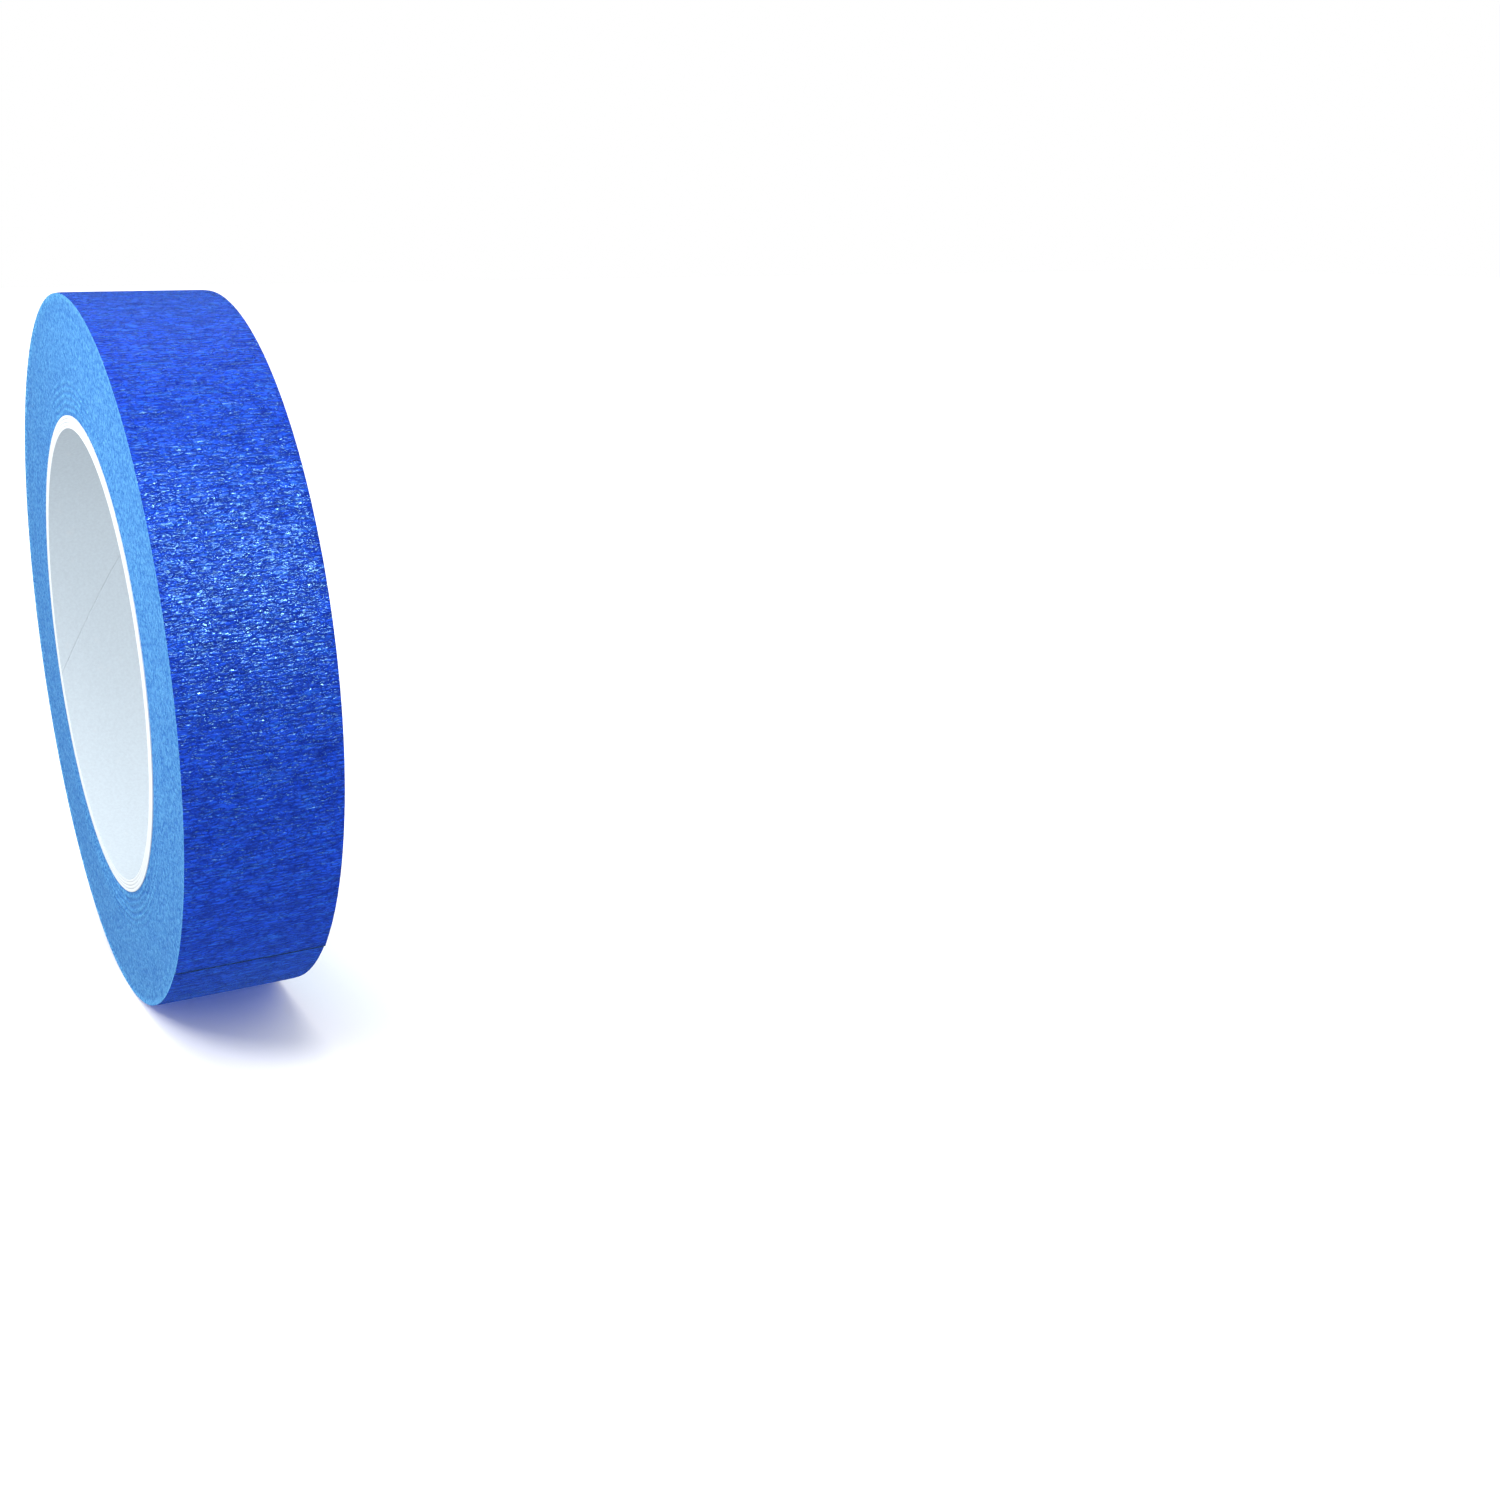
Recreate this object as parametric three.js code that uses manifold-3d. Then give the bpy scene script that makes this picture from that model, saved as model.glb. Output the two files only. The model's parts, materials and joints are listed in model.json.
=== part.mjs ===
// A roll of crepe-paper masking tape on a spiral-wound paperboard core, standing on its rim.
// Millimetres. +Y is the roll's axis, +Z is up and the rim rests on z = 0 below the axis.
// Angles around the roll are in degrees from its lowest point, growing towards +X.
import * as THREE from "three";
import { mergeVertices } from "three/addons/utils/BufferGeometryUtils.js";
import Module from "manifold-3d";

const TAPE_WIDTH = 24;
const OUTER_RADIUS = 59.8;
const BORE_RADIUS = 38.1;

// Round surfaces all share these facets, one of them flat on the ground.
const FACETS = 100;
const FACET_ANGLE = 360 / FACETS;

// The outer turn: creped backing over its adhesive, with a hairline of air between the layers.
const BACKING_THICKNESS = 0.11;
const ADHESIVE_THICKNESS = 0.03;
const LAYER_GAP = 0.01;
const TURN_THICKNESS = BACKING_THICKNESS + ADHESIVE_THICKNESS + 2 * LAYER_GAP;

// The free end of the tape: where it is cut off, and the hinged lengths that it peels in.
const TAIL_END_FACET = 12;
const TAIL_SEGMENTS = 8;
const FACETS_PER_SEGMENT = 2;
const SEGMENT_GAP_ANGLE = 0.04;
const TAIL_ROOT_FACET = TAIL_END_FACET + TAIL_SEGMENTS * FACETS_PER_SEGMENT;

// The outer turn comes in by its own thickness over this stretch of the far side.
const RAMP_START_FACET = 76;
const RAMP_END_FACET = 96;

// Core plies from the bore outwards: name, thickness, angle of the butt seam at mid width.
const PLIES = [
  { name: "core_liner_ply", thickness: 0.36, seamAngle: 255 },
  { name: "core_inner_body_ply", thickness: 0.54, seamAngle: 15 },
  { name: "core_outer_body_ply", thickness: 0.54, seamAngle: 135 },
  { name: "core_cover_ply", thickness: 0.54, seamAngle: 315 },
];
const GLUE_LINE = 0.04;
// Each ply's two edges butt along a seam that slopes back round the core at this angle from the axis.
const SEAM_SLOPE = 60;
const SEAM_GAP = 0.3;
const SEAM_SLAB_DEPTH = 18;
const SEAM_SLAB_LENGTH = 56;
const SEAM_OVERRUN = 2;

const UNDER_TAIL_RADIUS = OUTER_RADIUS - TURN_THICKNESS;
const CORE_OUTER_RADIUS = PLIES.reduce((radius, ply) => radius + ply.thickness + GLUE_LINE, BORE_RADIUS);
const AXIS_HEIGHT = UNDER_TAIL_RADIUS * Math.cos(THREE.MathUtils.degToRad(FACET_ANGLE / 2));

const tapeColour = new THREE.Color(0x2347b8);
const adhesiveColour = new THREE.Color(0x8e9fd0);
const boardColour = new THREE.Color(0xeef1f3);

const wasm = await Module();
wasm.setup();

function tapeMaterial() {
  return new THREE.MeshStandardMaterial({ color: tapeColour, roughness: 0.55, metalness: 0 });
}

function adhesiveMaterial() {
  return new THREE.MeshStandardMaterial({ color: adhesiveColour, roughness: 0.3, metalness: 0 });
}

function boardMaterial() {
  return new THREE.MeshStandardMaterial({ color: boardColour, roughness: 0.85, metalness: 0 });
}

// A point of the roll's section: across is +X and up is +Z, both from the roll's axis.
function polar(radius, angle) {
  const a = THREE.MathUtils.degToRad(angle);
  return new THREE.Vector2(radius * Math.sin(a), -radius * Math.cos(a));
}

function vertexAngle(facet) {
  return (facet + 0.5) * FACET_ANGLE;
}

function ring(radius) {
  return Array.from({ length: FACETS }, (_, facet) => polar(radius, vertexAngle(facet)));
}

// A section drawn across the axis becomes a solid of the tape's width along Y.
function acrossTheWidth(shape) {
  const geometry = new THREE.ExtrudeGeometry(shape, { depth: TAPE_WIDTH, bevelEnabled: false });
  geometry.rotateX(Math.PI / 2);
  geometry.translate(0, TAPE_WIDTH / 2, 0);
  return geometry;
}

function tube(innerRadius, outerRadius) {
  const shape = new THREE.Shape(ring(outerRadius));
  shape.holes.push(new THREE.Path(ring(innerRadius)));
  return acrossTheWidth(shape);
}

// A bent strip between two angles, with its corners on the same vertices as the full rings.
function strip(innerRadius, outerRadius, startAngle, endAngle) {
  const angles = [startAngle];
  const firstVertex = Math.ceil(startAngle / FACET_ANGLE - 0.5);
  for (let facet = firstVertex; vertexAngle(facet) < endAngle; facet++) {
    if (vertexAngle(facet) > startAngle) angles.push(vertexAngle(facet));
  }
  angles.push(endAngle);
  const outer = angles.map((angle) => polar(outerRadius, angle));
  const inner = angles.map((angle) => polar(innerRadius, angle)).reverse();
  return acrossTheWidth(new THREE.Shape([...outer, ...inner]));
}

// The outside of the wound turns, from the tail's root over the top and round to the root again.
function woundOutline() {
  const points = [];
  for (let facet = TAIL_ROOT_FACET; facet <= TAIL_ROOT_FACET + FACETS; facet++) {
    const ramp = THREE.MathUtils.smoothstep(facet, RAMP_START_FACET, RAMP_END_FACET);
    points.push(polar(OUTER_RADIUS - TURN_THICKNESS * ramp, vertexAngle(facet)));
  }
  return points;
}

function woundTape() {
  const shape = new THREE.Shape(woundOutline());
  shape.holes.push(new THREE.Path(ring(CORE_OUTER_RADIUS)));
  return new THREE.Mesh(acrossTheWidth(shape), tapeMaterial());
}

function toSolid(geometry) {
  const bare = new THREE.BufferGeometry();
  bare.setAttribute("position", geometry.getAttribute("position"));
  bare.setIndex(geometry.index);
  const merged = mergeVertices(bare, 1e-4);
  const vertProperties = merged.getAttribute("position").array;
  const triVerts = new Uint32Array(merged.index.array);
  return new wasm.Manifold(new wasm.Mesh({ numProp: 3, vertProperties, triVerts }));
}

function toGeometry(solid) {
  const mesh = solid.getMesh();
  const geometry = new THREE.BufferGeometry();
  geometry.setAttribute("position", new THREE.BufferAttribute(mesh.vertProperties, mesh.numProp));
  geometry.setIndex(new THREE.BufferAttribute(mesh.triVerts, 1));
  geometry.computeVertexNormals();
  return geometry;
}

// The slit between a ply's two edges: a thin slab through the wall, sloped as the seam is.
function seamCutter(outerRadius, seamAngle) {
  const slab = new THREE.BoxGeometry(SEAM_SLAB_DEPTH, SEAM_SLAB_LENGTH, SEAM_GAP);
  slab.rotateX(THREE.MathUtils.degToRad(-SEAM_SLOPE));
  slab.translate(outerRadius + SEAM_OVERRUN - SEAM_SLAB_DEPTH / 2, 0, 0);
  slab.rotateY(THREE.MathUtils.degToRad(90 - seamAngle));
  return slab;
}

function corePly(innerRadius, ply) {
  const outerRadius = innerRadius + ply.thickness;
  const body = toSolid(tube(innerRadius, outerRadius));
  const slit = toSolid(seamCutter(outerRadius, ply.seamAngle));
  const mesh = new THREE.Mesh(toGeometry(body.subtract(slit)), boardMaterial());
  mesh.name = ply.name;
  return mesh;
}

function core() {
  const group = new THREE.Group();
  let radius = BORE_RADIUS;
  for (const ply of PLIES) {
    group.add(corePly(radius, ply));
    radius += ply.thickness + GLUE_LINE;
  }
  return group;
}

// Segment 1 hangs from the outer turn and the last one carries the cut end.
function tailSegment(number) {
  const topFacet = TAIL_ROOT_FACET - (number - 1) * FACETS_PER_SEGMENT;
  const start = vertexAngle(topFacet - FACETS_PER_SEGMENT) + SEGMENT_GAP_ANGLE / 2;
  const end = vertexAngle(topFacet) - SEGMENT_GAP_ANGLE / 2;
  const backingInner = OUTER_RADIUS - BACKING_THICKNESS;
  const adhesiveOuter = backingInner - LAYER_GAP;
  const adhesiveInner = adhesiveOuter - ADHESIVE_THICKNESS;
  const backing = new THREE.Mesh(strip(backingInner, OUTER_RADIUS, start, end), tapeMaterial());
  backing.name = "tail_backing_" + number;
  const adhesive = new THREE.Mesh(strip(adhesiveInner, adhesiveOuter, start, end), adhesiveMaterial());
  adhesive.name = "tail_adhesive_" + number;
  return new THREE.Group().add(backing, adhesive);
}

function maskingTapeRoll() {
  const roll = new THREE.Group();
  const wound = woundTape();
  wound.name = "wound_tape";
  roll.add(wound, core());
  for (let number = 1; number <= TAIL_SEGMENTS; number++) roll.add(tailSegment(number));
  roll.position.z = AXIS_HEIGHT;
  return roll;
}

export default maskingTapeRoll();
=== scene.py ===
"""A roll of blue crepe-paper masking tape, standing on its rim with its free end stuck down.

Lengths are metres. Angles go round the roll's axis in degrees from its lowest point, growing
towards +X. Across the roll is the Y axis, and the near flat side faces -Y.
"""

import json
import math

import bpy
import numpy as np
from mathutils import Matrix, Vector


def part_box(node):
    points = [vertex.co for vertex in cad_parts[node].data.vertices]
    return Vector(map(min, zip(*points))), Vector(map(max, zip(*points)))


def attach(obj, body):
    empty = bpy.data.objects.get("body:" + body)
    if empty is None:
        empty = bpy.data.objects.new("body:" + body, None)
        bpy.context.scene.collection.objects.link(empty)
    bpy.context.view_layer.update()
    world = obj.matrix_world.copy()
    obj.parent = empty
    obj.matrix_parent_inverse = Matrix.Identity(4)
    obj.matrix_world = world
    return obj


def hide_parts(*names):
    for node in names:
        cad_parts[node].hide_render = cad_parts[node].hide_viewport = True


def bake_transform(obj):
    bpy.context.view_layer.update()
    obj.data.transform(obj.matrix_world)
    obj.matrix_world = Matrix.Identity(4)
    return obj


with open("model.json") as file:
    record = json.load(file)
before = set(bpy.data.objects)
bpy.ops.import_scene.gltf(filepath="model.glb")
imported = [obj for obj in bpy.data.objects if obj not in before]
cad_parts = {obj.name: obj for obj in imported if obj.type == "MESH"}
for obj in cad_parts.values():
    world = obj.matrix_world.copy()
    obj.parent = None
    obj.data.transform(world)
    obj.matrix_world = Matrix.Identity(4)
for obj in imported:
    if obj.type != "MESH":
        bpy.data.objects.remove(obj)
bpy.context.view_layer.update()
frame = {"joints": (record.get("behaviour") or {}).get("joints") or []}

MM = 0.001

# The roll's own measures, read from the frame.
tape_low, tape_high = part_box("wound_tape")
liner_low, liner_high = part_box("core_liner_ply")
AXIS_HEIGHT = (liner_low.z + liner_high.z) / 2
OUTER_RADIUS = -tape_low.x
HALF_WIDTH = tape_high.y
CIRCUMFERENCE = 2 * math.pi * OUTER_RADIUS
PLIES = ("core_liner_ply", "core_inner_body_ply", "core_outer_body_ply", "core_cover_ply")
GLUE_LINE = 0.04 * MM
LINER_THICKNESS = 0.36 * MM
CORE_RADIUS = -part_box(PLIES[-1])[0].x

# Each ply's edges butt along a seam at this slope from the axis, which crosses mid width at these angles.
SEAM_SLOPE = 60
SEAMS = (255, 15, 135, 315)
SEAM_GAP = 0.07 * MM

# A ply's corners are rounded off, and its rims lie a little inside the tape's width.
BOARD_ROUNDING = 0.06 * MM
BOARD_INSET = 0.02 * MM


def hinge_angle(joint):
    """Where round the roll a hinge of the peeling tail lies."""
    x, _, z = joint["pos_m"]
    return math.degrees(math.atan2(x, AXIS_HEIGHT - z))


HINGES = [hinge_angle(joint) for joint in frame["joints"]]
HINGE_STEP = HINGES[0] - HINGES[1]
TAIL_ROOT = HINGES[0] + HINGE_STEP / 2
TAIL_END = HINGES[-1] - HINGE_STEP

# One turn of the tape is its paper and adhesive, with a hairline of air under it.
TAPE_THICKNESS = 0.14 * MM
TURN_THICKNESS = 0.16 * MM

# The outermost turns are one closed piece, which reaches this far in from the rim.
OUTER_SHELL = 0.3 * MM

# The outer turn comes in by its own thickness between these angles, as the CAD's does.
RAMP_START = 275.4
RAMP_END = 347.4

# The crepe paper's relief, and how the tread rounds off at its two edges.
RIDGE_PITCH = 0.58 * MM
RIDGE_DEPTH = 0.032 * MM
CREASE_DEPTH = 0.04 * MM
SWELL_DEPTH = 0.02 * MM
EDGE_REACH = 1.2 * MM
EDGE_DROP = 0.1 * MM

# The roll's flat sides lie a little inside the tape's width, and are rippled near the core.
SLIT_INSET = 0.026 * MM
SIDE_DEPTH = 0.17 * MM
SIDE_EASE = 0.9 * MM
# Over this depth into the flat side its colour gets darker, as painted shade in its hollows.
SHADED_DEPTH = 0.3 * MM
CORE_CLEARANCE = 0.02 * MM
RIPPLE_PITCH = 1.15 * MM
RIPPLE_DEPTH = 0.13 * MM

# The tape's cut end: how wide and dark the painted shadow line at it is, how high and how far it lifts,
# and how ragged it is.
CUT_SHADOW_WIDTH = 0.36
CUT_SHADOW_BELOW = 1.6
CUT_SHADOW_ON_TAIL = 2.5
CUT_LIFT = 0.12 * MM
CUT_LIFT_ANGLE = 3
CUT_RAGGEDNESS = 0.09

# How finely the pieces are divided round the roll and across it.
FINE_STEP = 0.16
HIDDEN_STEP = 0.32
FINE_PAST_CUT = 2
TREAD_ROWS = 34
EDGE_ROWS = (0.0, 0.12 * MM, 0.35 * MM, 0.75 * MM)
EDGE_STRIP = 1.4 * MM
SIDE_COLUMNS = 720
SIDE_ROWS = 60
PLY_COLUMNS = 480
PLY_ROWS = 26
SHARP_ANGLE = 50


# ---------------------------------------------------------------- noise and relief


def smoothstep(start, end, value):
    share = np.clip((value - start) / (end - start), 0, 1)
    return share * share * (3 - 2 * share)


def noise(turn, across, pitch, length, seed):
    """Smooth noise of about -1 to 1, in cells of pitch round the rim by length across it.

    It repeats with every whole turn, so that stacked turns of tape have the same relief.
    """
    columns = round(CIRCUMFERENCE / pitch)
    rows = math.ceil(2 * HALF_WIDTH / length) + 4
    directions = np.random.default_rng(seed).uniform(0, 2 * math.pi, (columns, rows))
    u, v = np.broadcast_arrays(turn * columns, across / length + rows / 2)
    column, row = np.floor(u).astype(int), np.floor(v).astype(int)
    u, v = u - column, v - row
    ease_u, ease_v = smoothstep(0, 1, u), smoothstep(0, 1, v)
    total = np.zeros(u.shape)
    for du in (0, 1):
        for dv in (0, 1):
            angle = directions[(column + du) % columns, (row + dv) % rows]
            slope = np.cos(angle) * (u - du) + np.sin(angle) * (v - dv)
            weight_u = ease_u if du else 1 - ease_u
            weight_v = ease_v if dv else 1 - ease_v
            total += slope * weight_u * weight_v
    return 1.5 * total


def creases(values, width):
    """1 along the lines where the noise crosses zero, falling to 0 beside them."""
    return np.exp(-((values / width) ** 2))


def crepe(theta, across):
    """The crepe paper's surface: its height, about 0 at most, and its shade from 0 in a crease to 1,
    partly the paper's own tone and partly painted shade.
    """
    turn = theta / 360
    broad_wander = noise(turn, across, 2.2 * MM, 1.7 * MM, 11)
    fine_wander = noise(turn, across, MM, 0.9 * MM, 12)
    wander = 0.5 * broad_wander + 0.22 * fine_wander
    ridge = 0.5 + 0.5 * np.cos(2 * math.pi * (turn * round(CIRCUMFERENCE / RIDGE_PITCH) + wander))
    strength = np.clip(0.75 + 0.3 * noise(turn, across, 2.4 * MM, 3.6 * MM, 13), 0.4, 1.2)
    turn = turn + 0.6 * MM * wander / CIRCUMFERENCE
    deep = creases(noise(turn, across, 1.1 * MM, 4.2 * MM, 14), 0.13)
    deep = deep * np.clip(0.5 + 0.4 * noise(turn, across, 4 * MM, 3 * MM, 15), 0, 1)
    swell = 0.5 - 0.5 * noise(turn, across, 1.3 * MM, 4.5 * MM, 16)
    depth = RIDGE_DEPTH * strength * (1 - ridge) + CREASE_DEPTH * deep + SWELL_DEPTH * swell
    edge = np.clip(1 - (HALF_WIDTH - np.abs(across)) / EDGE_REACH, 0, 1)
    # This shade darkens the paper in its ridges' hollows and creases: partly its own tone, partly painted
    # shade.
    shade = np.clip(1 - 0.6 * strength * (1 - ridge) - 0.6 * deep - 0.15 * swell, 0, 1)
    return -depth * (1 - 0.5 * edge) - EDGE_DROP * edge**2, shade


def cut_edge_relief(theta, radius, seed):
    """How far the slit edges of the wound turns lie inside the roll's flat side."""
    turn = theta / 360
    depth = radius - CORE_RADIUS
    grain = 0.03 * MM * noise(turn, depth, 0.9 * MM, 0.45 * MM, seed)
    steps = 0.025 * MM * noise(turn, depth, 90 * MM, 1.7 * MM, seed + 1)
    low_part = np.exp(-(((((theta + 180) % 360) - 180) / 48) ** 2))
    top_part = 0.8 * np.exp(-(((theta % 360 - 180) / 30) ** 2))
    sway = 1.6 * noise(turn, depth, 9 * MM, 5 * MM, seed + 2)
    ripple = np.sin(2 * math.pi * depth / RIPPLE_PITCH + sway)
    fading = smoothstep(0, 0.8 * MM, depth) * (1 - smoothstep(3.5 * MM, 7.5 * MM, depth))
    ripples = RIPPLE_DEPTH * ripple * fading * (low_part + top_part + 0.06)
    return SIDE_DEPTH + grain + steps + ripples


# ---------------------------------------------------------------- mesh making


def swept(name, theta, radius, across, relief, materials, wraps=False, material_of=None):
    """A closed piece swept round the roll's axis.

    The arrays' first index goes round the roll, and their second goes along the piece's section,
    which runs over its outer face towards +Y and back along the inside. material_of gives the
    material's index for each place in the section.
    """
    theta, radius, across, relief = np.broadcast_arrays(theta, radius, across, relief)
    columns, places = theta.shape
    angle = np.radians(theta)
    points = np.stack(
        (radius * np.sin(angle), across, AXIS_HEIGHT - radius * np.cos(angle)), axis=-1
    )
    unrolled = np.stack((angle * OUTER_RADIUS, across, radius), axis=-1)
    index = np.arange(columns * places).reshape(columns, places)
    ahead = np.roll(index, -1, axis=1)
    if wraps:
        first, last = slice(None), None
        onward = np.roll(index, -1, axis=0)
        onward_ahead = np.roll(ahead, -1, axis=0)
    else:
        first, last = slice(None, -1), index[-1]
        onward = index[1:]
        onward_ahead = ahead[1:]
    quads = np.stack((index[first], ahead[first], onward_ahead, onward), axis=-1)
    faces = quads.reshape(-1, 4).tolist()
    slots = np.zeros(places, int) if material_of is None else np.asarray(material_of)
    face_slots = np.tile(slots, len(quads))
    if last is not None:
        faces += [index[0][::-1].tolist(), last.tolist()]
        face_slots = np.append(face_slots, [slots[-1], slots[-1]])
    mesh = bpy.data.meshes.new(name)
    mesh.from_pydata(points.reshape(-1, 3).tolist(), [], faces)
    mesh.polygons.foreach_set("material_index", face_slots.astype(np.int32))
    store(mesh, "rest", "FLOAT_VECTOR", "vector", points)
    store(mesh, "unrolled", "FLOAT_VECTOR", "vector", unrolled)
    store(mesh, "relief", "FLOAT", "value", relief)
    for material in materials:
        mesh.materials.append(material)
    mesh.shade_smooth()
    mesh.set_sharp_from_angle(angle=math.radians(SHARP_ANGLE))
    piece = bpy.data.objects.new(name, mesh)
    bpy.context.scene.collection.objects.link(piece)
    return piece


def store(mesh, name, kind, field, values):
    """Keeps a value for every vertex, so that a material follows its piece when that bends."""
    attribute = mesh.attributes.new(name, kind, "POINT")
    attribute.data.foreach_set(field, values.astype(np.float32).ravel())


def tread_places():
    """Where the tread's rows lie across the tape, closer together at its two edges."""
    middle = np.linspace(-HALF_WIDTH + EDGE_STRIP, HALF_WIDTH - EDGE_STRIP, TREAD_ROWS)
    edge = HALF_WIDTH - np.array(EDGE_ROWS)
    return np.concatenate((-edge, middle, edge[::-1]))


def ragged(theta, seed):
    """How far the tape's slit edge wanders in from the flat side."""
    return 0.012 * MM + 0.014 * MM * (1 + noise(theta / 360, 0.0, 0.7 * MM, 9 * MM, seed))


def cut_shadow_line(theta, cut):
    """1 on the thin painted shadow line where the tape's cut end lies on the turn below, and 0 away from
    it.
    """
    return np.exp(-(((theta - cut) / CUT_SHADOW_WIDTH) ** 2))


def trimmed(theta, places):
    """The tread's rows with the outermost ones drawn in to the ragged slit edges."""
    low = -HALF_WIDTH + ragged(theta, 21)
    high = HALF_WIDTH - ragged(theta, 22)
    return np.clip(places, low, high)


# ---------------------------------------------------------------- pieces


def outer_turns(tread, cut_edge):
    """The tape's outer turn, which comes in by one thickness on its way to pass under the tail."""
    hidden_from = TAIL_END + (360 + FINE_PAST_CUT)
    turned = np.concatenate(
        (
            np.arange(TAIL_ROOT, hidden_from, FINE_STEP),
            np.arange(hidden_from, TAIL_ROOT + 360, HIDDEN_STEP),
            [TAIL_ROOT + 360],
        )
    )[:, None]
    radius = OUTER_RADIUS - TURN_THICKNESS * smoothstep(RAMP_START, RAMP_END, turned)
    places = trimmed(turned, tread_places())
    height, shade = crepe(turned, places)
    # A thin painted shadow line on this turn, just below where the tail's cut end lies on it.
    shade = shade - CUT_SHADOW_BELOW * cut_shadow_line(turned - 360, TAIL_END)
    inside = OUTER_RADIUS - OUTER_SHELL
    low, high = places[:, :1], places[:, -1:]
    middle = (radius + height[:, :1] + inside) / 2
    inner = np.full_like(middle, inside)
    section_radius = np.hstack((radius + height, middle, inner, inner, middle))
    section_across = np.hstack((places, high, high, low, low))
    section_relief = np.hstack((shade, np.ones((len(turned), 4))))
    count = places.shape[1]
    slots = [0] * (count - 1) + [1] * 5
    piece = swept(
        "outer_turns", turned, section_radius, section_across, section_relief,
        (tread, cut_edge), material_of=slots,
    )
    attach(piece, "roll")
    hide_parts("wound_tape")


def wound_turns(cut_edge):
    """All the turns further in, whose slit edges make the roll's two flat sides."""
    turned = np.arange(SIDE_COLUMNS)[:, None] * 360 / SIDE_COLUMNS
    outside = OUTER_RADIUS - OUTER_SHELL
    radius = np.linspace(outside, CORE_RADIUS + CORE_CLEARANCE, SIDE_ROWS)
    flat = smoothstep(0, SIDE_EASE, outside - radius)
    back = HALF_WIDTH - SLIT_INSET - flat * cut_edge_relief(turned, radius, 31)
    front = -HALF_WIDTH + SLIT_INSET + flat * cut_edge_relief(turned, radius, 41)
    section_radius = np.concatenate((radius, radius[::-1]))
    section_across = np.hstack((back, front[:, ::-1]))
    # 1 at the flat side's face, falling with depth into it; the slit edges' colour takes its painted
    # shade from this.
    relief = 1 - (HALF_WIDTH - np.abs(section_across)) / SHADED_DEPTH
    piece = swept(
        "wound_turns", turned, section_radius, section_across, relief, (cut_edge,), wraps=True
    )
    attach(piece, "roll")
    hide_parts("wound_tape")


def ply_relief(theta, across, seed):
    """The slight unevenness of a glued paperboard ply."""
    turn = theta / 360
    fibres = noise(turn, across, 2.2 * MM, 1.6 * MM, seed)
    waves = noise(turn, across, 14 * MM, 9 * MM, seed + 1)
    return 0.006 * MM * fibres + 0.014 * MM * waves


def core_ply(name, inside, outside, seam, board, seed):
    """One ply of the core, wound so that its two edges butt along a slanting seam."""
    gap = math.degrees(SEAM_GAP / inside)
    start = np.linspace(gap / 2, 360 - gap / 2, PLY_COLUMNS)[:, None]
    places = np.linspace(HALF_WIDTH - BOARD_ROUNDING, -HALF_WIDTH + BOARD_ROUNDING, PLY_ROWS)
    rim = HALF_WIDTH - BOARD_INSET
    across = np.concatenate((places[::-1], [rim, rim], places, [-rim, -rim]))
    slant = math.degrees(math.tan(math.radians(SEAM_SLOPE)) / inside)
    theta = start + seam - slant * across
    bore = inside + ply_relief(theta, across, seed)
    corner = BOARD_ROUNDING / (outside - inside)
    outer, inner = np.ones(PLY_ROWS), np.zeros(PLY_ROWS)
    share = np.concatenate((outer, [1 - corner, corner], inner, [corner, 1 - corner]))
    radius = bore + (outside - bore) * share
    fuzz = 0.02 * MM * noise(theta / 360, radius * 6, 0.6 * MM, 1.1 * MM, seed + 2)
    at_rim = np.abs(across) > rim - BOARD_ROUNDING / 2
    across = across - np.sign(across) * at_rim * np.abs(fuzz)
    piece = swept(name, theta, radius, across, share, (board,))
    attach(piece, "roll")
    return piece


def core(board):
    """The four plies of the core, from the bore outwards, each standing for its CAD solid."""
    inside = -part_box(PLIES[0])[0].x - LINER_THICKNESS
    for number, (node, seam) in enumerate(zip(PLIES, SEAMS)):
        outside = -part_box(node)[0].x
        piece = core_ply(node + "_board", inside, outside, seam, board, 51 + 5 * number)
        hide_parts(node)
        inside = outside + GLUE_LINE


def tail_length(number, tread, underside, cut_edge):
    """One length of the free tail, from the middle of one segment to the middle of the next."""
    hinge = HINGES[number]
    start = hinge + HINGE_STEP / 2
    last = number == len(HINGES) - 1
    end = TAIL_END if last else hinge - HINGE_STEP / 2
    columns = 1 + round((start - end) / FINE_STEP)
    turned = np.linspace(end, start, columns)[:, None]
    places = tread_places()
    if last:
        cut = CUT_RAGGEDNESS * noise(np.zeros(1), places, 5 * MM, 1.3 * MM, 61)
        turned = turned + cut * (1 - smoothstep(end, end + 1, turned))
    places = trimmed(turned, places)
    height, shade = crepe(turned, places)
    if last:
        height = height + CUT_LIFT * (1 - smoothstep(end, end + CUT_LIFT_ANGLE, turned))
        # The tail's cut end is darkened with the same painted shadow line.
        shade = shade - CUT_SHADOW_ON_TAIL * cut_shadow_line(turned, end + cut)
    top = OUTER_RADIUS + height
    bottom = top[:, ::-1] - TAPE_THICKNESS
    middle = top[:, :1] - TAPE_THICKNESS / 2
    turned = np.broadcast_to(turned, top.shape)
    low, high = slice(0, 1), slice(-1, None)
    piece = swept(
        f"tail_length_{number + 1}",
        np.hstack((turned, turned[:, high], turned[:, ::-1], turned[:, low])),
        np.hstack((top, middle, bottom, middle)),
        np.hstack((places, places[:, high], places[:, ::-1], places[:, low])),
        np.hstack((shade, np.ones_like(middle), shade[:, ::-1], np.ones_like(middle))),
        (tread, underside, cut_edge),
        material_of=[0] * (top.shape[1] - 1) + [2, 2] + [1] * (top.shape[1] - 1) + [2, 2],
    )
    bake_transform(piece)
    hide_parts(f"tail_backing_{number + 1}", f"tail_adhesive_{number + 1}")


# ---------------------------------------------------------------- materials


DEEP_BLUE = (0.004, 0.018, 0.29)
PAPER_BLUE = (0.015, 0.092, 0.95)
STREAK_BLUE = (0.03, 0.2, 0.95)
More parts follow.
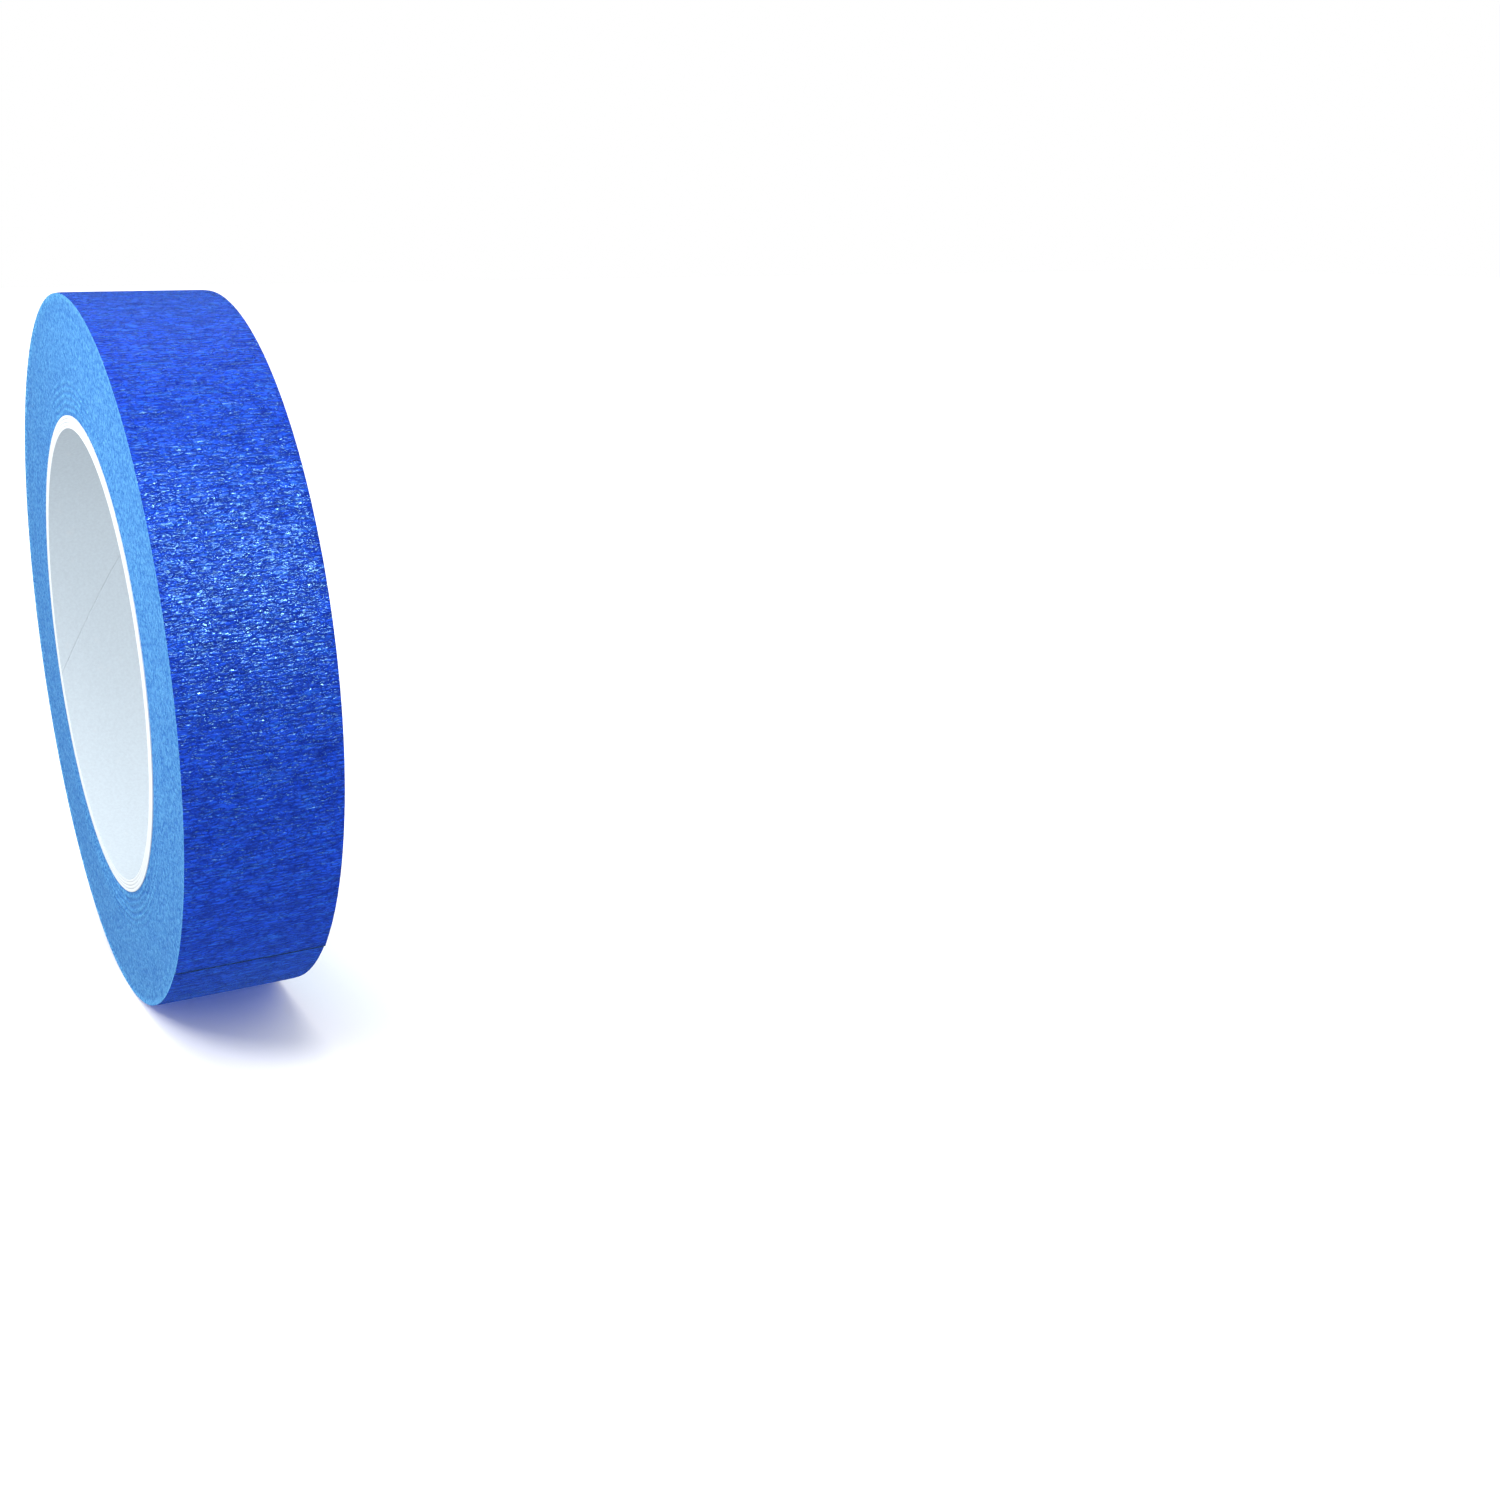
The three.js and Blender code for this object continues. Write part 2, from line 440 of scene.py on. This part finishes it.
# A near-black blue for the painted shadow line at the tape's cut end.
CUT_SHADOW_BLUE = (0.001, 0.005, 0.07)
EDGE_LOW_BLUE = (0.02, 0.145, 0.46)
EDGE_HIGH_BLUE = (0.16, 0.51, 0.85)


class Surface:
    """A procedural material in the making, round one Principled shader."""

    def __init__(self, name, **settings):
        self.material = bpy.data.materials.new(name)
        self.material.use_nodes = True
        self.tree = self.material.node_tree
        self.shader = self.tree.nodes["Principled BSDF"]
        for socket, value in settings.items():
            self.shader.inputs[socket.replace("_", " ")].default_value = value

    def put(self, node, socket, value):
        """Links an output to a node's input, or sets the input to a plain value."""
        if isinstance(value, bpy.types.NodeSocket):
            self.tree.links.new(value, node.inputs[socket])
        else:
            node.inputs[socket].default_value = value

    def stored(self, name, output):
        node = self.tree.nodes.new("ShaderNodeAttribute")
        node.attribute_name = name
        return node.outputs[output]

    def stretched(self, vector, pitches):
        """The vector counted in these pitches, so that a noise of scale 1 has features of their size."""
        node = self.tree.nodes.new("ShaderNodeVectorMath")
        node.operation = "DIVIDE"
        self.put(node, 0, vector)
        self.put(node, 1, pitches)
        return node.outputs["Vector"]

    def noise(self, vector, detail=2.0, roughness=0.5, distortion=0.0):
        node = self.tree.nodes.new("ShaderNodeTexNoise")
        self.put(node, "Vector", vector)
        self.put(node, "Distortion", distortion)
        self.put(node, "Scale", 1.0)
        self.put(node, "Detail", detail)
        self.put(node, "Roughness", roughness)
        return node.outputs["Factor" if "Factor" in node.outputs else "Fac"]

    def spread(self, value, low, high, to_low, to_high):
        """The value's range low to high moved to another range, and held inside it."""
        node = self.tree.nodes.new("ShaderNodeMapRange")
        for socket, number in zip(
            ("Value", "From Min", "From Max", "To Min", "To Max"),
            (value, low, high, to_low, to_high),
        ):
            self.put(node, socket, number)
        return node.outputs["Result"]

    def maths(self, operation, first, second):
        node = self.tree.nodes.new("ShaderNodeMath")
        node.operation = operation
        self.put(node, 0, first)
        self.put(node, 1, second)
        return node.outputs["Value"]

    def mixed(self, share, first, second):
        """A colour between two others."""
        node = self.tree.nodes.new("ShaderNodeMix")
        node.data_type = "RGBA"
        self.put(node, "Factor", share)
        colours = [socket for socket in node.inputs if socket.type == "RGBA"]
        for socket, colour in zip(colours, (first, second)):
            if isinstance(colour, bpy.types.NodeSocket):
                self.tree.links.new(colour, socket)
            else:
                socket.default_value = (*colour, 1)
        return next(socket for socket in node.outputs if socket.type == "RGBA")

    def bump(self, height, distance, below=None):
        node = self.tree.nodes.new("ShaderNodeBump")
        self.put(node, "Height", height)
        self.put(node, "Distance", distance)
        if below is not None:
            self.put(node, "Normal", below)
        return node.outputs["Normal"]

    def finish(self, **links):
        for socket, output in links.items():
            self.tree.links.new(output, self.shader.inputs[socket.replace("_", " ")])
        return self.material


def crepe_paper():
    """The saturated blue crepe face of the tape. Its gloss is tinted, to suit the lamps of this stage."""
    surface = Surface(
        "crepe_paper", Specular_IOR_Level=1.0, Specular_Tint=(0.4, 0.9, 1, 1),
        Sheen_Weight=0.15, Sheen_Roughness=0.4, Sheen_Tint=(0.2, 0.6, 1, 1),
    )
    place = surface.stored("unrolled", "Vector")
    relief = surface.stored("relief", "Fac")
    wrinkles = surface.noise(surface.stretched(place, (0.62 * MM, 1.5 * MM, MM)), 1.0, 0.5, 0.8)
    fibres = surface.noise(surface.stretched(place, (0.36 * MM, 1.0 * MM, MM)), 2.0, 0.6, 0.5)
    flecks = surface.noise(surface.stretched(place, (0.8 * MM, 1.6 * MM, MM)), 2.0)
    from_crease = surface.maths("ABSOLUTE", surface.maths("SUBTRACT", wrinkles, 0.5), 0.0)
    puffed = surface.spread(from_crease, 0.0, 0.1, 0.0, 1.0)
    streaks = surface.noise(surface.stretched(place, (0.65 * MM, 4 * MM, MM)), 2.0, 0.6, 0.3)
    # Darker where the crepe's shade is low: partly the paper's own tone, partly painted shade in its
    # creases.
    ink = surface.mixed(surface.spread(relief, 0.2, 0.95, 0.0, 1.0), DEEP_BLUE, PAPER_BLUE)
    ink = surface.mixed(surface.spread(streaks, 0.52, 0.68, 0.0, 0.4), ink, STREAK_BLUE)
    ink = surface.mixed(surface.spread(streaks, 0.46, 0.34, 0.0, 0.4), ink, DEEP_BLUE)
    ink = surface.mixed(surface.spread(fibres, 0.52, 0.36, 0.0, 0.75), ink, DEEP_BLUE)
    # Darker again along the wrinkles' crease lines: partly the paper's tone, partly painted shade.
    ink = surface.mixed(surface.spread(puffed, 0.7, 0.0, 0.0, 0.85), ink, DEEP_BLUE)
    # Where relief falls below 0: the painted shadow line at the tape's cut end.
    ink = surface.mixed(surface.spread(relief, -1.0, 0.0, 1.0, 0.0), ink, CUT_SHADOW_BLUE)
    gloss = surface.spread(flecks, 0.3, 0.7, 0.25, 0.14)
    rough = surface.bump(relief, 0.08 * MM, surface.bump(fibres, 0.12 * MM))
    return surface.finish(
        Base_Color=ink, Roughness=gloss, Normal=surface.bump(puffed, 0.07 * MM, rough)
    )


def slit_edge():
    """The paler, matt and grainy cut edges of the paper, with painted shade where they lie deeper in."""
    surface = Surface("slit_edge", Specular_IOR_Level=0.15)
    place = surface.stored("rest", "Vector")
    unrolled = surface.stored("unrolled", "Vector")
    relief = surface.stored("relief", "Fac")
    grain = surface.noise(surface.stretched(place, (0.5 * MM, 0.5 * MM, 0.5 * MM)), 3.0, 0.7)
    blotches = surface.noise(surface.stretched(place, (4 * MM, 4 * MM, 4 * MM)), 2.0)
    layers = surface.noise(surface.stretched(unrolled, (900 * MM, 60 * MM, 0.35 * MM)), 2.0)
    tint = surface.mixed(surface.spread(grain, 0.38, 0.64, 0.0, 1.0), EDGE_LOW_BLUE, EDGE_HIGH_BLUE)
    tint = surface.mixed(surface.spread(blotches, 0.4, 0.7, 0.0, 0.2), tint, (0.1, 0.32, 0.7))
    tint = surface.mixed(surface.spread(layers, 0.5, 0.75, 0.0, 0.25), tint, (0.04, 0.17, 0.5))
    # Painted shade: darker where the flat side lies deeper in, as in its ripples' hollows and away from
    # the rim.
    tint = surface.mixed(surface.spread(relief, 0.2, 0.7, 0.5, 0.0), tint, (0.03, 0.13, 0.45))
    roughness = surface.spread(grain, 0.3, 0.7, 0.95, 0.75)
    rough = surface.bump(grain, 0.35 * MM)
    return surface.finish(
        Base_Color=tint, Roughness=roughness, Normal=surface.bump(layers, 0.02 * MM, rough)
    )


def white_board():
    """The core's smooth white paperboard, with faint fibres and handling marks, and painted shade that
    makes its bore's face darker than its rims.
    """
    surface = Surface("white_board", Specular_IOR_Level=0.15)
    place = surface.stored("rest", "Vector")
    unrolled = surface.stored("unrolled", "Vector")
    fibres = surface.noise(surface.stretched(place, (0.5 * MM, 0.5 * MM, 0.5 * MM)), 3.0, 0.6)
    smudges = surface.noise(surface.stretched(unrolled, (5 * MM, 3 * MM, 20 * MM)), 3.0, 0.7)
    out_of_painted_shade = surface.stored("relief", "Fac")
    darker, lighter = (0.49, 0.55, 0.6), (0.54, 0.61, 0.66)
    white = surface.mixed(surface.spread(fibres, 0.3, 0.7, 0.0, 1.0), darker, lighter)
    # One board in two tones: a darker one on the bore's face as painted shade, and a whiter one on the
    # rims and outer face.
    white = surface.mixed(surface.spread(out_of_painted_shade, 0.0, 0.12, 0.0, 1.0), white, (0.74, 0.78, 0.8))
    white = surface.mixed(surface.spread(smudges, 0.62, 0.78, 0.0, 0.3), white, (0.6, 0.62, 0.64))
    roughness = surface.spread(fibres, 0.3, 0.7, 0.7, 0.5)
    return surface.finish(
        Base_Color=white, Roughness=roughness, Normal=surface.bump(fibres, 0.02 * MM)
    )


def sticky_underside():
    """The glossy, slightly mottled rubber adhesive on the back of the paper."""
    surface = Surface("sticky_underside", Specular_IOR_Level=0.5, Coat_Weight=0.3, Coat_Roughness=0.15)
    place = surface.stored("unrolled", "Vector")
    relief = surface.stored("relief", "Fac")
    mottle = surface.noise(surface.stretched(place, (1.6 * MM, 2.4 * MM, MM)), 4.0, 0.6)
    lines = surface.noise(surface.stretched(place, (0.3 * MM, 2 * MM, MM)), 2.0)
    tint = surface.mixed(surface.spread(mottle, 0.3, 0.7, 0.0, 1.0), (0.1, 0.22, 0.6), (0.17, 0.33, 0.7))
    # Darker where the face's relief is low: the crepe's crease shade, partly painted, and the painted
    # shadow line at the cut end.
    tint = surface.mixed(surface.spread(relief, 0.2, 0.9, 0.35, 0.0), tint, (0.06, 0.14, 0.45))
    roughness = surface.spread(mottle, 0.3, 0.7, 0.24, 0.42)
    return surface.finish(
        Base_Color=tint, Roughness=roughness, Normal=surface.bump(lines, 0.02 * MM)
    )


# ---------------------------------------------------------------- stage


CENTRE = Vector((0, 0, AXIS_HEIGHT))
FLOOR_REACH = 4.0

# The camera that a fit to the photographed roll's rims gave.
CAMERA_PLACE = (315.8 * MM, -65.2 * MM, 129.5 * MM)
CAMERA_AIM = (-0.8343, 0.4774, -0.2758)
FOCAL_LENGTH = 43.8
SENSOR_WIDTH = 36


def floor():
    """A plain pale floor. The roll neither reflects it nor is lit by it."""
    reach = FLOOR_REACH
    mesh = bpy.data.meshes.new("floor")
    corners = [(-reach, -reach, 0), (reach, -reach, 0), (reach, reach, 0), (-reach, reach, 0)]
    mesh.from_pydata(corners, [], [(0, 1, 2, 3)])
    paint = Surface(
        "pale_floor", Base_Color=(0.97, 0.97, 0.97, 1), Roughness=0.9, Specular_IOR_Level=0.1
    )
    mesh.materials.append(paint.material)
    plane = bpy.data.objects.new("floor", mesh)
    bpy.context.scene.collection.objects.link(plane)
    plane.visible_glossy = False
    plane.visible_diffuse = False


def aimed(light, direction, distance):
    """Puts a light out from the roll's centre in a direction, turned back towards the roll."""
    lamp = bpy.data.objects.new(light.name, light)
    away = Vector(direction).normalized()
    lamp.location = CENTRE + away * distance
    lamp.rotation_euler = (-away).to_track_quat("-Z", "Y").to_euler()
    bpy.context.scene.collection.objects.link(lamp)
    return lamp


def softbox(name, direction, distance, width, height, radiance):
    light = bpy.data.lights.new(name, "AREA")
    light.shape = "RECTANGLE"
    light.size = width
    light.size_y = height
    light.energy = radiance * math.pi * width * height
    return aimed(light, direction, distance)


def open_sky(name, direction, spread, irradiance):
    """A very broad, even light from one direction, as bright far away as near the roll."""
    light = bpy.data.lights.new(name, "SUN")
    light.angle = math.radians(spread)
    light.energy = irradiance
    return aimed(light, direction, 2.0)


def surroundings(ambient, mirrored):
    """White behind the roll, an even light on it from all round, and a dim blue in its gloss."""
    world = bpy.data.worlds.new("studio")
    world.use_nodes = True
    tree = world.node_tree
    seen = tree.nodes["Background"]
    seen.inputs["Color"].default_value = (1, 1, 1, 1)
    lit = tree.nodes.new("ShaderNodeBackground")
    lit.inputs["Color"].default_value = (0.96, 0.98, 1, 1)
    lit.inputs["Strength"].default_value = ambient
    glossy = tree.nodes.new("ShaderNodeBackground")
    glossy.inputs["Color"].default_value = (0.5, 0.75, 1, 1)
    glossy.inputs["Strength"].default_value = mirrored
    path = tree.nodes.new("ShaderNodeLightPath")
    light = lit.outputs["Background"]
    for ray, background in (("Is Glossy Ray", glossy), ("Is Camera Ray", seen)):
        mix = tree.nodes.new("ShaderNodeMixShader")
        tree.links.new(path.outputs[ray], mix.inputs["Fac"])
        tree.links.new(light, mix.inputs[1])
        tree.links.new(background.outputs["Background"], mix.inputs[2])
        light = mix.outputs["Shader"]
    tree.links.new(light, tree.nodes["World Output"].inputs["Surface"])
    bpy.context.scene.world = world


def camera():
    """An upright camera above the roll, looking down at its tread and near side."""
    lens = bpy.data.cameras.new("camera")
    lens.lens = FOCAL_LENGTH
    lens.sensor_width = SENSOR_WIDTH
    lens.clip_start = 10 * MM
    body = bpy.data.objects.new("camera", lens)
    body.location = CAMERA_PLACE
    body.rotation_euler = Vector(CAMERA_AIM).to_track_quat("-Z", "Y").to_euler()
    bpy.context.scene.collection.objects.link(body)
    bpy.context.scene.camera = body


# ---------------------------------------------------------------- the whole scene


def lights():
    """Two lamps that give diffuse light only, and two that are only seen in the gloss."""
    surroundings(ambient=1.05, mirrored=0.06)
    overhead = open_sky("overhead", direction=(0.05, -0.1, 1), spread=50, irradiance=1.6)
    overhead.visible_glossy = False
    sheen = softbox(
        "top_sheen", direction=(-0.65, 0.2, 0.7), distance=1.0, width=0.7, height=0.4, radiance=0.5
    )
    sheen.visible_diffuse = False
    side_fill = softbox(
        "side_fill", direction=(0.05, -0.12, 0.09), distance=0.158, width=0.06, height=0.06,
        radiance=13.0,
    )
    side_fill.visible_glossy = False
    glints = softbox(
        "glints", direction=(0.74, 0.18, 0.54), distance=1.3, width=0.1, height=0.16, radiance=140.0
    )
    glints.visible_diffuse = False


def main():
    camera()
    floor()
    lights()
    tread = crepe_paper()
    cut_edge = slit_edge()
    underside = sticky_underside()
    outer_turns(tread, cut_edge)
    wound_turns(cut_edge)
    core(white_board())
    for number in range(len(HINGES)):
        tail_length(number, tread, underside, cut_edge)
    bpy.context.scene.view_settings.view_transform = "Standard"


main()
